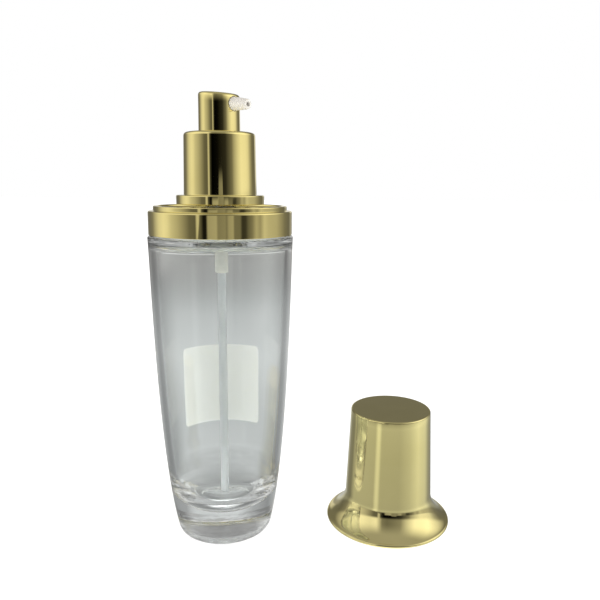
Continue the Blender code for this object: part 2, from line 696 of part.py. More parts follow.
def actuator_shell(parent):
    """Gold cup over the head, with a hole for the nozzle."""
    inner_r = HEAD_TOP_R - HEAD_WALL
    roof_z = HEAD_TOP_Z - HEAD_ROOF
    profile = rounded([
        (0.0, HEAD_TOP_Z, 0), (HEAD_TOP_R, HEAD_TOP_Z, HEAD_TOP_FILLET), (HEAD_TOP_R + 0.01, HEAD_BEND_Z, 0),
        (HEAD_R, HEAD_BOTTOM_Z, HEAD_FOOT_FILLET), (inner_r, HEAD_BOTTOM_Z, 0), (inner_r, roof_z, 0),
        (0.0, roof_z, 0),
    ], 3)
    shell = tipped_top("actuator_shell", profile, FACETS, GOLD, parent)
    hole_r = NOZZLE_ROOT_R + GUIDE_GAP
    combine(shell, nozzle_tool("tool_shell_hole", hole_r, NOZZLE_CUT_FROM, NOZZLE_CUT_TO, parent), "DIFFERENCE")
    return shell


def actuator_core(parent):
    """Plastic heart of the head: a socket for the stem and a channel out to the nozzle."""
    outer_r = HEAD_TOP_R - HEAD_WALL - GUIDE_GAP
    top_z = HEAD_TOP_Z - CORE_DROP
    socket_r = STEM_R + FIT_GAP
    socket_z = STEM_TOP_Z + 2 * FIT_GAP
    well_z = NOZZLE_Z + CORE_WELL_TOP
    profile = [
        (0.0, top_z), (outer_r, top_z), (outer_r, CORE_FOOT_Z), (CORE_POCKET_R, CORE_FOOT_Z),
        (CORE_POCKET_R, CORE_POCKET_Z), (CORE_SOCKET_R, CORE_POCKET_Z), (CORE_SOCKET_R, CORE_FOOT_Z),
        (socket_r, CORE_FOOT_Z), (socket_r, socket_z), (CORE_WELL_R, socket_z), (CORE_WELL_R, well_z),
        (0.0, well_z),
    ]
    core = tipped_top("actuator_core", profile, MID_FACETS, IVORY, parent)
    seat = nozzle_tool("tool_core_seat", NOZZLE_SEAT_R + FIT_GAP, NOZZLE_START - FIT_GAP, NOZZLE_CUT_TO, parent)
    combine(core, seat, "DIFFERENCE")
    channel = nozzle_tool("tool_core_channel", CORE_CHANNEL_R, -0.3, NOZZLE_START + 0.4, parent)
    combine(core, channel, "DIFFERENCE")
    return core


def nozzle_insert(parent):
    """Tapered outlet spout with a bore right through."""
    profile = rounded([
        (NOZZLE_BORE_R, NOZZLE_END, NOZZLE_BORE_FILLET), (NOZZLE_TIP_R, NOZZLE_END, NOZZLE_TIP_FILLET),
        (NOZZLE_ROOT_R, NOZZLE_COLLAR, 0), (NOZZLE_SEAT_R, NOZZLE_COLLAR, 0), (NOZZLE_SEAT_R, NOZZLE_START, 0),
        (NOZZLE_BORE_R, NOZZLE_START, 0),
    ])
    spout = turned("nozzle_insert", profile, SMALL_FACETS, MILKY, parent)
    lay_along_nozzle(spout)
    return spout


def overcap_shell(parent):
    """Flat-topped tapering cap that flares out to a thin round brim."""
    brim = (CAP_RIM_R - CAP_RIM_SET_BACK, CAP_RIM_HEIGHT)
    inside_waist = (CAP_WAIST_R - CAP_WALL, CAP_INSIDE_WAIST_Z)
    roof_z = CAP_HEIGHT - CAP_WALL
    flare = bezier(((CAP_WAIST_R, CAP_WAIST_Z), *CAP_FLARE_TURNS, brim), 7)
    rim = [(CAP_RIM_R - back, z) for back, z in CAP_RIM_POINTS]
    hollow = bezier(((CAP_RIM_R - CAP_HOLLOW_EDGE, 0.0), *CAP_HOLLOW_TURNS, inside_waist), 6)
    outer = rounded([(0.0, CAP_HEIGHT, 0), (CAP_TOP_R, CAP_HEIGHT, CAP_FILLET), (CAP_WAIST_R, CAP_WAIST_Z, 0)], 3)
    inner = rounded([(*inside_waist, 0), (CAP_TOP_R - CAP_WALL, roof_z, CAP_FILLET), (0.0, roof_z, 0)])
    profile = outer[:-1] + flare + rim + hollow[:-1] + inner
    return turned("overcap_shell", profile, FACETS, GOLD, parent, closed=False)


def overcap_liner(parent):
    """Plastic collar inside the cap that grips the closure sleeve."""
    lead_r, lead_z = CAP_LINER_LEAD_IN
    profile = [
        (CAP_LINER_BORE_R, CAP_LINER_TOP_Z), (CAP_LINER_R, CAP_LINER_TOP_Z), (CAP_LINER_R, CAP_LINER_FOOT_Z),
        (CAP_LINER_BORE_R + lead_r, CAP_LINER_FOOT_Z), (CAP_LINER_BORE_R, CAP_LINER_FOOT_Z + lead_z),
    ]
    return turned("overcap_liner", profile, FACETS, IVORY, parent)


def build():
    bottle = empty("bottle_frame", (SET_X, SET_Y, 0.0))
    glass_bottle(bottle)
    back_label(bottle)
    shoulder_ring(bottle)
    shoulder_ring_liner(bottle)
    pump = empty("pump_frame", (0.0, 0.0, 0.0), bottle)
    neck_gasket(pump)
    pump_housing(pump)
    housing_lock_ring(pump)
    dip_tube(pump)
    check_ball(pump)
    return_spring(pump)
    closure = empty("closure_frame", (0.0, 0.0, 0.0), pump)
    closure_sleeve(closure)
    screw_closure(closure)
    plunger = empty("plunger_frame", (0.0, 0.0, 0.0), pump)
    stem(plunger)
    piston_rod(plunger)
    piston(plunger)
    head = empty("head_frame", (0.0, 0.0, 0.0), plunger)
    actuator_core(head)
    actuator_shell(head)
    nozzle_insert(head)
    cap = empty("cap_frame", (SET_X + CAP_X, SET_Y + CAP_Y, 0.0))
    overcap_shell(cap)
    overcap_liner(cap)


clear_scene()
PARTS = new_collection("foundation_bottle")
TOOLS = new_collection("cutting_tools")
build()
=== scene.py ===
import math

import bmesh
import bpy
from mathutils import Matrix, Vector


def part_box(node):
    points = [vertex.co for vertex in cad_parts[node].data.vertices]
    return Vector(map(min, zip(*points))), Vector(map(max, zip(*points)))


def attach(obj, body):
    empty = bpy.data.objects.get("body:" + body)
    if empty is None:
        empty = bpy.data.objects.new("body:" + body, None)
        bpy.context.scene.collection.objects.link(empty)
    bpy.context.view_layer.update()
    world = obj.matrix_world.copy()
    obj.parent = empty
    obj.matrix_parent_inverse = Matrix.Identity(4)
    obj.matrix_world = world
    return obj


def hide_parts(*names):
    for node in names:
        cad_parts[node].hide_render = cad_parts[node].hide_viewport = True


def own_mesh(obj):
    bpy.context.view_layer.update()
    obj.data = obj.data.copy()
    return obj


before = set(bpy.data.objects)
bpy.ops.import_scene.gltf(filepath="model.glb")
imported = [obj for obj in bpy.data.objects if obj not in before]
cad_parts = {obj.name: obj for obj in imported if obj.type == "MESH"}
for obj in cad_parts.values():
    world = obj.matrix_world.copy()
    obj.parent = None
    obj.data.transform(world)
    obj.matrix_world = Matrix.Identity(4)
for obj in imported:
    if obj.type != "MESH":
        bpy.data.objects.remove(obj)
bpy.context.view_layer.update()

# A clear glass foundation bottle with a gold treatment pump, and its gold overcap beside it.
#
# Lengths are in millimetres up to solid(), which writes metres. Each turned piece is made round the
# upright axis of its own CAD node or a coaxial one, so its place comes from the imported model. R ends
# the name of a radius and Z that of a height above the table. A curve is a row of (radius, height)
# control points, and one with fewer than four shares its open ends with its neighbours.

MM = 0.001
ROUND = 192                   # facets round a large turned piece
SLIM = 96                     # facets round a slim one
THIN = 64                     # facets round the dip tube and round the nozzle's hole

# ---- Glass ----
GLASS_WALL = 2.1
GLASS_FLOOR_Z = 8.3
GLASS_PUSH_UP = 0.8
GLASS_FOOT_R = 13.1
GLASS_HEEL_R = 14.45
GLASS_SHOULDER_R = 20.95
SHOULDER_TOP_Z = 90.55
BODY_CURVE = ((GLASS_SHOULDER_R, 89.8), (20.5, 86.6), (20.05, 26.0), (GLASS_HEEL_R, 1.7))
BODY_STEPS = 48
EVEN_WALL_FOOT_Z = 19.0       # the inside follows the outside between these two heights
EVEN_WALL_TOP_Z = 86.0
NECK_R = 7.8
NECK_BORE_R = 5.8
NECK_BORE_FOOT_Z = 93.0
NECK_TOP_Z = 108.5
NECK_FOOT_Z = 93.2
NECK_LIP_DEPTH = 0.5
NECK_LIP = (
    (NECK_BORE_R + 0.1, NECK_TOP_Z - 0.12), (NECK_BORE_R + 0.4, NECK_TOP_Z),
    (NECK_R - 0.4, NECK_TOP_Z), (NECK_R - 0.1, NECK_TOP_Z - 0.12),
)
BOWL_CURVE = ((0.0, GLASS_FLOOR_Z), (8.6, GLASS_FLOOR_Z), (13.3, 10.6))
INNER_SHOULDER_CURVE = ((18.75, 88.9), (16.6, 88.7), (13.0, 89.45))
INNER_NECK_CURVE = ((8.6, 90.35), (NECK_BORE_R, 90.5), (NECK_BORE_R, NECK_BORE_FOOT_Z))
SHOULDER_SLOPE = ((8.1, 92.75), (8.7, 92.45), (10.0, 92.3), (15.0, 91.5), (19.5, SHOULDER_TOP_Z + 0.12))
SHOULDER_EDGE_CURVE = ((20.2, SHOULDER_TOP_Z), (20.75, 90.35))
HEEL_CURVE = ((14.2, 0.75), (13.85, 0.0), (GLASS_FOOT_R, 0.0))
PUSH_UP_CURVE = ((11.3, 0.0), (10.4, 0.05), (9.4, 0.7), (5.0, GLASS_PUSH_UP))
THREAD_PITCH = 3.175
THREAD_HEIGHT = 0.95
THREAD_TURNS = 1.35
THREAD_START_Z = 102.0
THREAD_HALF_WIDTH = 1.0
THREAD_FLANK = 0.55
THREAD_FADES = 6              # each end fades over one sixth of a turn
STIPPLE_BELOW_Z = 1.6         # the underside is stippled up to here and clear from the next height
CLEAR_ABOVE_Z = 2.6

# ---- Label ----
LABEL_MID = math.radians(99.8)    # from +X round the bottle's axis
LABEL_WIDTH = 29.2
LABEL_BOTTOM_Z = 27.1
LABEL_TOP_Z = 52.8
LABEL_CORNER = 1.5
LABEL_GAP = 0.03
LABEL_THICKNESS = 0.1
CORNER_STEPS = 6

# ---- Gold pieces ----
RING_R = 20.6
RING_BOTTOM_Z = 90.7
RING_TOP_Z = 97.4
RING_HOLE_R = 9.6
RING_WALL = 0.5
LIP_OUTER_R = 19.1
LIP_INNER_R = 17.9
LIP_TOP_Z = 98.8
LIP_FOOT_Z = RING_TOP_Z + 0.1
DECK_Z = 98.1
DECK_LOW = (LIP_INNER_R - 3.0, DECK_Z - 0.1)
DECK_EDGE = (LIP_INNER_R - 0.25, DECK_Z + 0.05)
SLEEVE_FOOT_R = 10.4
SLEEVE_TOP_R = 10.1
SLEEVE_TOP_Z = 119.1
SLEEVE_WALL = 0.4
SLEEVE_ROOF = 1.0
SLEEVE_BEND_Z = 108.0         # the inside is straight above this height
FLANGE_R = 12.55
FLANGE_BOTTOM_Z = 99.2
FLANGE_TOP_Z = 101.8
FLANGE_WALL = 0.45
HEAD_R = 5.88
HEAD_TOP_R = 5.8
HEAD_BOTTOM_Z = 117.4
HEAD_TOP_Z = 129.8
HEAD_WALL = 0.5
HEAD_ROOF = 1.0
HEAD_FLAT_R = HEAD_TOP_R * 0.82
HEAD_BEND = (HEAD_TOP_R + 0.01, 126.0)
HEAD_SLOPE = math.radians(4.8)
HEAD_SLOPE_FROM_Z = 128.2
HEAD_HOLE_R = 6.3

# ---- Nozzle, with distances along it from the head's axis ----
NOZZLE_ANGLE = math.radians(-37.0)
NOZZLE_Z = 127.1
NOZZLE_ROOT_R = 1.9
NOZZLE_TIP_R = 1.35
NOZZLE_START = 2.9
NOZZLE_COLLAR = 5.45
NOZZLE_END = 11.0
NOZZLE_BORE_R = 0.6
NOZZLE_SEAT_R = 1.35
NOZZLE_HOLE_GAP = 0.12
NOZZLE_HOLE_FROM = 4.0
NOZZLE_HOLE_TO = 8.0

# ---- Overcap ----
CAP_HEIGHT = 36.3
CAP_TOP_R = 12.28
CAP_WAIST_R = 13.42
CAP_WAIST_Z = 9.5
CAP_RIM_R = 19.3
CAP_WALL = 1.15
CAP_INNER_WAIST = (CAP_WAIST_R - CAP_WALL, 9.2)
CAP_FLAT_R = CAP_TOP_R * 0.95
RIM_TOP = (CAP_RIM_R - 0.4, 1.05)
RIM_FOOT = (CAP_RIM_R - 0.4, 0.0)
RIM_BULGE_R = CAP_RIM_R + 0.13
FLARE_CURVE = ((CAP_WAIST_R, CAP_WAIST_Z), (13.36, 5.41), (17.0, 1.72), RIM_TOP)
RIM_CURVE = (RIM_TOP, (RIM_BULGE_R, 0.85), (RIM_BULGE_R, 0.1), RIM_FOOT)
HOLLOW_CURVE = ((CAP_RIM_R - 1.0, 0.0), (15.6, 0.75), (12.35, 3.6), CAP_INNER_WAIST)

# ---- Pump ----
PUMP_FLANGE_R = 7.4
PUMP_FLANGE_Z = 109.5
PUMP_TOP_Z = 110.5
BARREL_R = 4.4
BARREL_FOOT_Z = 92.6
BARREL_HEEL = (4.0, 91.6)
BARREL_BORE_R = 3.35
BARREL_BORE_FOOT_Z = 94.0
TAIL_TOP = (2.0, 90.2)
TAIL_FOOT_R = 1.9
TAIL_FOOT_Z = 79.5
TAIL_SOCKET_R = 1.35
TAIL_SOCKET_TOP_Z = 88.9
INLET_R = 0.8
INLET_FOOT_Z = 89.2
INLET_TOP_Z = 91.2
BALL_CAGE_R = 1.9
BALL_CAGE_FOOT_Z = 92.3
BALL_CAGE_TOP_Z = 94.5
CAGE_LIP_R = 1.42
CAGE_LIP_Z = 94.85
CAGE_RIM_R = 2.1
CAGE_RIM_Z = 95.2
TUBE_R = 1.25
TUBE_BORE_R = 0.85
TUBE_TOP_Z = 88.7
TUBE_FOOT_Z = 8.9
WIRE_R = 0.22
COIL_R = 2.65
COIL_TURNS = 5.5
STEPS_PER_TURN = 48
WIRE_SIDES = 12

# ---- Floor and camera ----
FLOOR_HALF = 4.0              # metres
FLOOR_DROP = 0.0001           # metres
SHADE_BY_FOOT = 0.70          # brightness of the floor's glow at the bottle's foot, where a shadow is painted, and away from it
SHADE_FAR_OFF = 0.78
SHADE_REACH = 1.6             # where the painted shadow ends, in shoulder radii
CAMERA_FROM_BOTTLE = (23.115, -180.38, 105.02)
CAMERA_LENS = 37.116
CAMERA_SENSOR = 36.0
CAMERA_DOWN = 0.185           # radians, like the roll
CAMERA_ROLL = 0.008


# ================================================================ profiles

def fillet(before, corner, after, length, steps):
    """A quadratic arc that leaves both sides of a corner at the fillet's length and cuts it a little."""
    def along(target):
        dr, dz = target[0] - corner[0], target[1] - corner[1]
        share = length / math.hypot(dr, dz)
        return corner[0] + dr * share, corner[1] + dz * share

    start, end = along(before), along(after)
    arc = []
    for k in range(steps + 1):
        t = k / steps
        middle = [0.9 * c + 0.05 * (s + e) for s, c, e in zip(start, corner, end)]
        arc.append(tuple((1 - t) ** 2 * s + 2 * t * (1 - t) * m + t * t * e
                         for s, m, e in zip(start, middle, end)))
    return arc


def rounded(corners, steps=6):
    """Profile points for (radius, height, fillet) corners; a fillet of 0 stays sharp."""
    points = []
    for i, (r, z, length) in enumerate(corners):
        if length == 0:
            points.append((r, z))
            continue
        after = corners[(i + 1) % len(corners)]
        points += fillet(corners[i - 1][:2], (r, z), after[:2], length, steps)
    return points


def bezier(controls, steps):
    """Points on the cubic curve of four (radius, height) controls."""
    points = []
    for k in range(steps + 1):
        t = k / steps
        weights = ((1 - t) ** 3, 3 * t * (1 - t) ** 2, 3 * t * t * (1 - t), t ** 3)
        points.append(tuple(sum(w * c[a] for w, c in zip(weights, controls)) for a in (0, 1)))
    return points


def radius_at(points, height):
    """The radius of a profile at a height."""
    for (r0, z0), (r1, z1) in zip(points, points[1:]):
        if min(z0, z1) <= height <= max(z0, z1):
            return r0 + (r1 - r0) * (height - z0) / (z1 - z0)
    return points[-1][0]


def spread(low, high, count):
    """Evenly spaced values from low to high, both included."""
    return [low + (high - low) * k / count for k in range(count + 1)]


# ================================================================ mesh code

def axis_of(node):
    """The vertical axis through the middle of a CAD node, in mm."""
    low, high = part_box(node)
    return Vector(((low.x + high.x) / 2 / MM, (low.y + high.y) / 2 / MM, 0.0))


def lathe(profile, facets, closed=True, shape=None):
    """A profile swept round Z. shape(r, angle, z) may move a point to make threads or slopes."""
    bm = bmesh.new()
    rings = []
    for r, z in profile:
        if r < 1e-6:
            rings.append([bm.verts.new((0.0, 0.0, z))] * facets)
            continue
        ring = []
        for k in range(facets):
            angle = 2 * math.pi * k / facets
            rr, zz = shape(r, angle, z) if shape else (r, z)
            ring.append(bm.verts.new((rr * math.cos(angle), rr * math.sin(angle), zz)))
        rings.append(ring)
    pairs = list(zip(rings, rings[1:]))
    if closed:
        pairs.append((rings[-1], rings[0]))
    for low, high in pairs:
        for k in range(facets):
            n = (k + 1) % facets
            corners = []
            for vert in (low[k], low[n], high[n], high[k]):
                if vert not in corners:
                    corners.append(vert)
            if len(corners) > 2:
                bm.faces.new(corners)
    return bm


def solid(name, bm, place, material, body, nodes, sharp=35.0):
    """Write a bmesh in mm as a piece in metres that rides a body and stands for CAD nodes."""
    bmesh.ops.recalc_face_normals(bm, faces=bm.faces)
    bmesh.ops.transform(bm, matrix=Matrix.Scale(MM, 4) @ Matrix.Translation(place), verts=bm.verts)
    mesh = bpy.data.meshes.new(name)
    bm.to_mesh(mesh)
    bm.free()
    for face in mesh.polygons:
        face.use_smooth = True
    mesh.set_sharp_from_angle(angle=math.radians(sharp))
    mesh.materials.append(material)
    obj = bpy.data.objects.new(name, mesh)
    bpy.context.scene.collection.objects.link(obj)
    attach(obj, body)
    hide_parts(*nodes)
    return obj


def even_normals(obj):
    """Keep the shading of flat walls flat right up to their rounded edges."""
    step = obj.modifiers.new("Even", "WEIGHTED_NORMAL")
    step.keep_sharp = True


# ================================================================ materials

class Shader:
    """A Principled material with helpers for the procedural nodes that feed it."""

    def __init__(self, name, **values):
        self.material = bpy.data.materials.new(name)
        self.material.use_nodes = True
        self.tree = self.material.node_tree
        self.surface = self.tree.nodes["Principled BSDF"]
        self.where = self.node("ShaderNodeTexCoord").outputs["Object"]
        for socket, value in values.items():
            self.surface.inputs[socket.replace("_", " ")].default_value = value

    def node(self, kind, **inputs):
        """A node with some inputs set; an underscore in a name stands for a space."""
        made = self.tree.nodes.new(kind)
        for socket, value in inputs.items():
            made.inputs[socket.replace("_", " ")].default_value = value
        return made

    def link(self, output, socket):
        self.tree.links.new(output, socket)

    def stretched(self, scale):
        """Object place scaled for each axis."""
        mapping = self.node("ShaderNodeMapping")
        mapping.inputs["Scale"].default_value = scale
        self.link(self.where, mapping.inputs["Vector"])
        return mapping.outputs["Vector"]

    def noise(self, scale, stretch=(1, 1, 1), detail=3.0, roughness=0.55):
        """Noise with about this many waves to the metre; a small stretch draws it out along an axis."""
        made = self.node("ShaderNodeTexNoise", Scale=scale, Detail=detail, Roughness=roughness)
        self.link(self.stretched(stretch), made.inputs["Vector"])
        return made.outputs["Fac"]

    def ranged(self, value, low, high, start=0.35, end=0.65):
        """low where the value is at or under start, high where it is at or over end."""
        made = self.node("ShaderNodeMapRange", From_Min=start, From_Max=end, To_Min=low, To_Max=high)
        self.link(value, made.inputs["Value"])
        return made.outputs["Result"]

    def tinted(self, value, dark, light, start=0.3, end=0.7):
        """A base colour that wanders between two near ones."""
        ramp = self.node("ShaderNodeValToRGB")
        ramp.color_ramp.elements[0].position = start
        ramp.color_ramp.elements[0].color = (*dark, 1.0)
        ramp.color_ramp.elements[1].position = end
        ramp.color_ramp.elements[1].color = (*light, 1.0)
        self.link(value, ramp.inputs["Fac"])
        self.link(ramp.outputs["Color"], self.surface.inputs["Base Color"])

    def rough(self, value, low, high):
        self.link(self.ranged(value, low, high), self.surface.inputs["Roughness"])

    def bump(self, height, distance, strength=1.0):
        """Add a bump of this height in mm on top of any bump already there."""
        made = self.node("ShaderNodeBump", Distance=distance * MM, Strength=strength)
        self.link(height, made.inputs["Height"])
        normal = self.surface.inputs["Normal"]
        if normal.links:
            self.link(normal.links[0].from_socket, made.inputs["Normal"])
        self.link(made.outputs["Normal"], normal)


def clear_glass():
    """Flint glass: faint vertical draw lines, a slow waviness from blowing and a stippled underside."""
    m = Shader("clear_glass", Transmission_Weight=1.0, IOR=1.5, Roughness=0.0)
    m.tinted(m.noise(18.0), (0.955, 0.972, 0.966), (0.972, 0.985, 0.979))
    m.bump(m.noise(110.0, (1, 1, 0.06), detail=1.0), 0.05, 0.55)
    m.bump(m.noise(45.0, (1, 1, 0.45), detail=1.0), 0.12, 0.4)
    m.rough(m.noise(160.0), 0.0, 0.012)
    height = m.node("ShaderNodeSeparateXYZ")
    m.link(m.where, height.inputs[0])
    foot = m.ranged(height.outputs[2], 1.0, 0.0, STIPPLE_BELOW_Z * MM, CLEAR_ABOVE_Z * MM)
    stipple = m.node("ShaderNodeMath")
    stipple.operation = "MULTIPLY"
    m.link(foot, stipple.inputs[0])
    m.link(m.noise(650.0, detail=2.0), stipple.inputs[1])
    m.bump(stipple.outputs[0], 0.3)
    return m.material


def polished_gold():
    """Bright anodised aluminium: sharp reflections, faint turning lines and hazy patches."""
    m = Shader("polished_gold", Metallic=1.0, IOR=1.45)
    m.tinted(m.noise(60.0), (0.79, 0.675, 0.27), (0.84, 0.725, 0.31))
    m.rough(m.noise(240.0, detail=4.0), 0.02, 0.05)
    m.bump(m.noise(9000.0, (0.02, 0.02, 1), detail=2.0), 0.0006, 0.35)
    m.bump(m.noise(160.0, (1, 1, 0.5), detail=1.0), 0.006, 0.4)
    return m.material


def satin_gold():
    """Gold metallised plastic under a clear lacquer."""
    m = Shader("lacquered_gold", Metallic=1.0, IOR=1.45, Coat_Weight=0.15, Coat_Roughness=0.03)
    m.tinted(m.noise(50.0), (0.76, 0.665, 0.29), (0.81, 0.71, 0.33))
    m.rough(m.noise(200.0, detail=4.0), 0.06, 0.10)
    m.bump(m.noise(2600.0, detail=2.0), 0.0015, 0.3)
    m.bump(m.noise(90.0, (1, 1, 0.3), detail=1.0), 0.012, 0.35)
    return m.material


def moulded(name, dark, light, **values):
    """Natural moulded plastic with a fine grain, a little milky."""
    settings = {
        "Subsurface_Weight": 0.25, "Subsurface_Radius": (1.0, 0.95, 0.85), "Subsurface_Scale": 0.0012,
        "IOR": 1.49,
    }
    settings.update(values)
    m = Shader(name, **settings)
    m.tinted(m.noise(300.0), dark, light)
    m.rough(m.noise(700.0), 0.32, 0.48)
    m.bump(m.noise(5200.0, detail=2.0), 0.004, 0.3)
    return m.material


def label_film():
    """Blank off-white film: fibrous, slightly uneven where it is stuck down."""
    m = Shader("label_film", IOR=1.45, Specular_IOR_Level=0.3, Subsurface_Weight=0.8,
               Subsurface_Radius=(1.0, 1.0, 0.9), Subsurface_Scale=0.0006)
    m.tinted(m.noise(140.0, (1, 1, 0.6), detail=4.0), (0.88, 0.875, 0.80), (0.93, 0.915, 0.86))
    m.rough(m.noise(900.0), 0.45, 0.62)
    m.bump(m.noise(3500.0, (1, 1, 0.4)), 0.01, 0.35)
    return m.material


def steel(name):
    """Drawn stainless steel with a fine grain."""
    m = Shader(name, Metallic=1.0)
    m.tinted(m.noise(500.0), (0.60, 0.61, 0.63), (0.68, 0.69, 0.70))
    m.rough(m.noise(1800.0), 0.18, 0.3)
    m.bump(m.noise(6000.0, (1, 1, 0.3)), 0.002, 0.3)
    return m.material


# ================================================================ pieces

def body_profile():
    """The outside of the glass from the shoulder down to the heel."""
    return bezier(BODY_CURVE, BODY_STEPS)


def glass_inside(side):
    """From the middle of the floor up the bowl, the wall and the bore of the neck."""
    even = spread(EVEN_WALL_FOOT_Z, EVEN_WALL_TOP_Z, 40)
    wall = [(radius_at(side, z) - GLASS_WALL, z) for z in even]
    bowl = bezier((*BOWL_CURVE, wall[0]), 28)
    shoulder = bezier((wall[-1], *INNER_SHOULDER_CURVE), 12)[1:]
    neck = bezier((shoulder[-1], *INNER_NECK_CURVE), 12)[1:]
    bore = [(NECK_BORE_R, z) for z in spread(NECK_BORE_FOOT_Z + 0.5, NECK_TOP_Z - NECK_LIP_DEPTH, 3)]
    return bowl[:-1] + wall + shoulder + neck + bore


def glass_outside(side):
    """From the lip of the neck down the shoulder and the side, and in to the middle of the push-up."""
    neck = [(NECK_R, z) for z in spread(NECK_TOP_Z - NECK_LIP_DEPTH, NECK_FOOT_Z, 56)]
    edge = bezier((SHOULDER_SLOPE[-1], *SHOULDER_EDGE_CURVE, side[0]), 8)[1:]
    heel = bezier((side[-1], *HEEL_CURVE), 12)[1:]
    foot = bezier(PUSH_UP_CURVE, 10)
    middle = (0.0, GLASS_PUSH_UP)
    return [*NECK_LIP, *neck, *SHOULDER_SLOPE, *edge, *side[1:], *heel, *foot, middle]


def neck_thread(r, angle, z):
    """Raise the neck's outside along a right-hand helix that fades out at both ends."""
    if abs(r - NECK_R) > 0.01 or not NECK_FOOT_Z < z < NECK_TOP_Z - NECK_LIP_DEPTH:
        return r, z
    lift = 0.0
    for turn in range(2):
        along = turn + angle / (2 * math.pi)
        if along > THREAD_TURNS:
            continue
        away = abs(z - THREAD_START_Z - THREAD_PITCH * along)
        fade = min(1.0, THREAD_FADES * along, THREAD_FADES * (THREAD_TURNS - along))
        lift = max(lift, fade * min(1.0, max(0.0, (THREAD_HALF_WIDTH - away) / THREAD_FLANK)))
    return r + THREAD_HEIGHT * lift * lift * (3 - 2 * lift), z


def glass_bottle():
    """One glass body: thick base, tapered wall and threaded neck."""
    side = body_profile()
    bm = lathe(glass_inside(side) + glass_outside(side), ROUND, closed=False, shape=neck_thread)
    solid("bottle_glass", bm, axis_of("glass_bottle"), clear_glass(), "bottle", ["glass_bottle"], 50.0)


def label_columns(bm, side, gap):
    """Columns of vertices on the wall, across the label's width; the outer ones follow its corners."""
    near = [LABEL_CORNER * (1 - math.cos(math.pi / 2 * k / CORNER_STEPS)) for k in range(CORNER_STEPS + 1)]
    middle = spread(LABEL_CORNER, LABEL_WIDTH - LABEL_CORNER, 40)[1:-1]
    grid = []
    for s in near + middle + [LABEL_WIDTH - n for n in reversed(near)]:
        edge = min(s, LABEL_WIDTH - s, LABEL_CORNER)
        inset = LABEL_CORNER - math.sqrt(max(0.0, LABEL_CORNER ** 2 - (LABEL_CORNER - edge) ** 2))
        column = []
        for z in spread(LABEL_BOTTOM_Z + inset, LABEL_TOP_Z - inset, 20):
            r = radius_at(side, z) + gap
            angle = LABEL_MID + (s - LABEL_WIDTH / 2) / r
            column.append(bm.verts.new((r * math.cos(angle), r * math.sin(angle), z)))
        grid.append(column)
    return grid


def back_label():
    """A film panel with round corners, wrapped on the outside of the back wall."""
    side = body_profile()
    bm = bmesh.new()
    layers = [label_columns(bm, side, gap) for gap in (LABEL_GAP, LABEL_GAP + LABEL_THICKNESS)]
    for grid in layers:
        for left, right in zip(grid, grid[1:]):
            for k in range(len(left) - 1):
                bm.faces.new((left[k], left[k + 1], right[k + 1], right[k]))
    rims = []
    for grid in layers:
        bottom = [column[0] for column in grid]
        top = [column[-1] for column in grid]
        rims.append(bottom + grid[-1][1:-1] + top[::-1] + grid[0][1:-1][::-1])
    for k in range(len(rims[0])):
        n = (k + 1) % len(rims[0])
        bm.faces.new((rims[0][k], rims[0][n], rims[1][n], rims[1][k]))
    solid("label_panel", bm, axis_of("glass_bottle"), label_film(), "bottle", ["back_label"])


def shoulder_ring(gold):
    """Ring round the shoulder, with a raised lip round a slightly hollow deck."""
    under = RING_TOP_Z - RING_WALL
    profile = rounded([
        (RING_HOLE_R, DECK_Z, 0), (*DECK_LOW, 0), (*DECK_EDGE, 0.2),
        (LIP_INNER_R, LIP_TOP_Z, 0.25), (LIP_OUTER_R, LIP_TOP_Z, 0.3), (LIP_OUTER_R, LIP_FOOT_Z, 0.15),
        (RING_R, RING_TOP_Z, 0.45), (RING_R, RING_BOTTOM_Z, 0.1),
        (RING_R - RING_WALL, RING_BOTTOM_Z, 0), (RING_R - RING_WALL, under, 0), (RING_HOLE_R, under, 0),
    ])
    bm = lathe(profile, ROUND)
    even_normals(solid("ring_gold", bm, axis_of("shoulder_ring"), gold, "bottle", ["shoulder_ring"]))


def closure_sleeve(gold):
    """Sleeve with a slight taper and a brim at its foot."""
    inner_foot = SLEEVE_FOOT_R - SLEEVE_WALL
    inner_top = SLEEVE_TOP_R - SLEEVE_WALL
    under = FLANGE_TOP_Z - FLANGE_WALL
    ceiling = SLEEVE_TOP_Z - SLEEVE_ROOF
    profile = rounded([
        (HEAD_HOLE_R, SLEEVE_TOP_Z, 0.2), (SLEEVE_TOP_R, SLEEVE_TOP_Z, 1.0),
        (SLEEVE_FOOT_R, FLANGE_TOP_Z, 0.2), (FLANGE_R, FLANGE_TOP_Z, 0.35), (FLANGE_R, FLANGE_BOTTOM_Z, 0.2),
        (FLANGE_R - FLANGE_WALL, FLANGE_BOTTOM_Z, 0), (FLANGE_R - FLANGE_WALL, under, 0),
        (inner_foot, under, 0), (inner_top, SLEEVE_BEND_Z, 0), (inner_top, ceiling, 0.6),
        (HEAD_HOLE_R, ceiling, 0),
    ])
    bm = lathe(profile, ROUND)
    even_normals(solid("sleeve_gold", bm, axis_of("closure_sleeve"), gold, "closure", ["closure_sleeve"]))


def slope_towards_nozzle(r, angle, z):
    """The head's top tips down towards the nozzle."""
    if z <= HEAD_SLOPE_FROM_Z:
        return r, z
    return r, z - math.tan(HEAD_SLOPE) * r * math.cos(angle - NOZZLE_ANGLE)


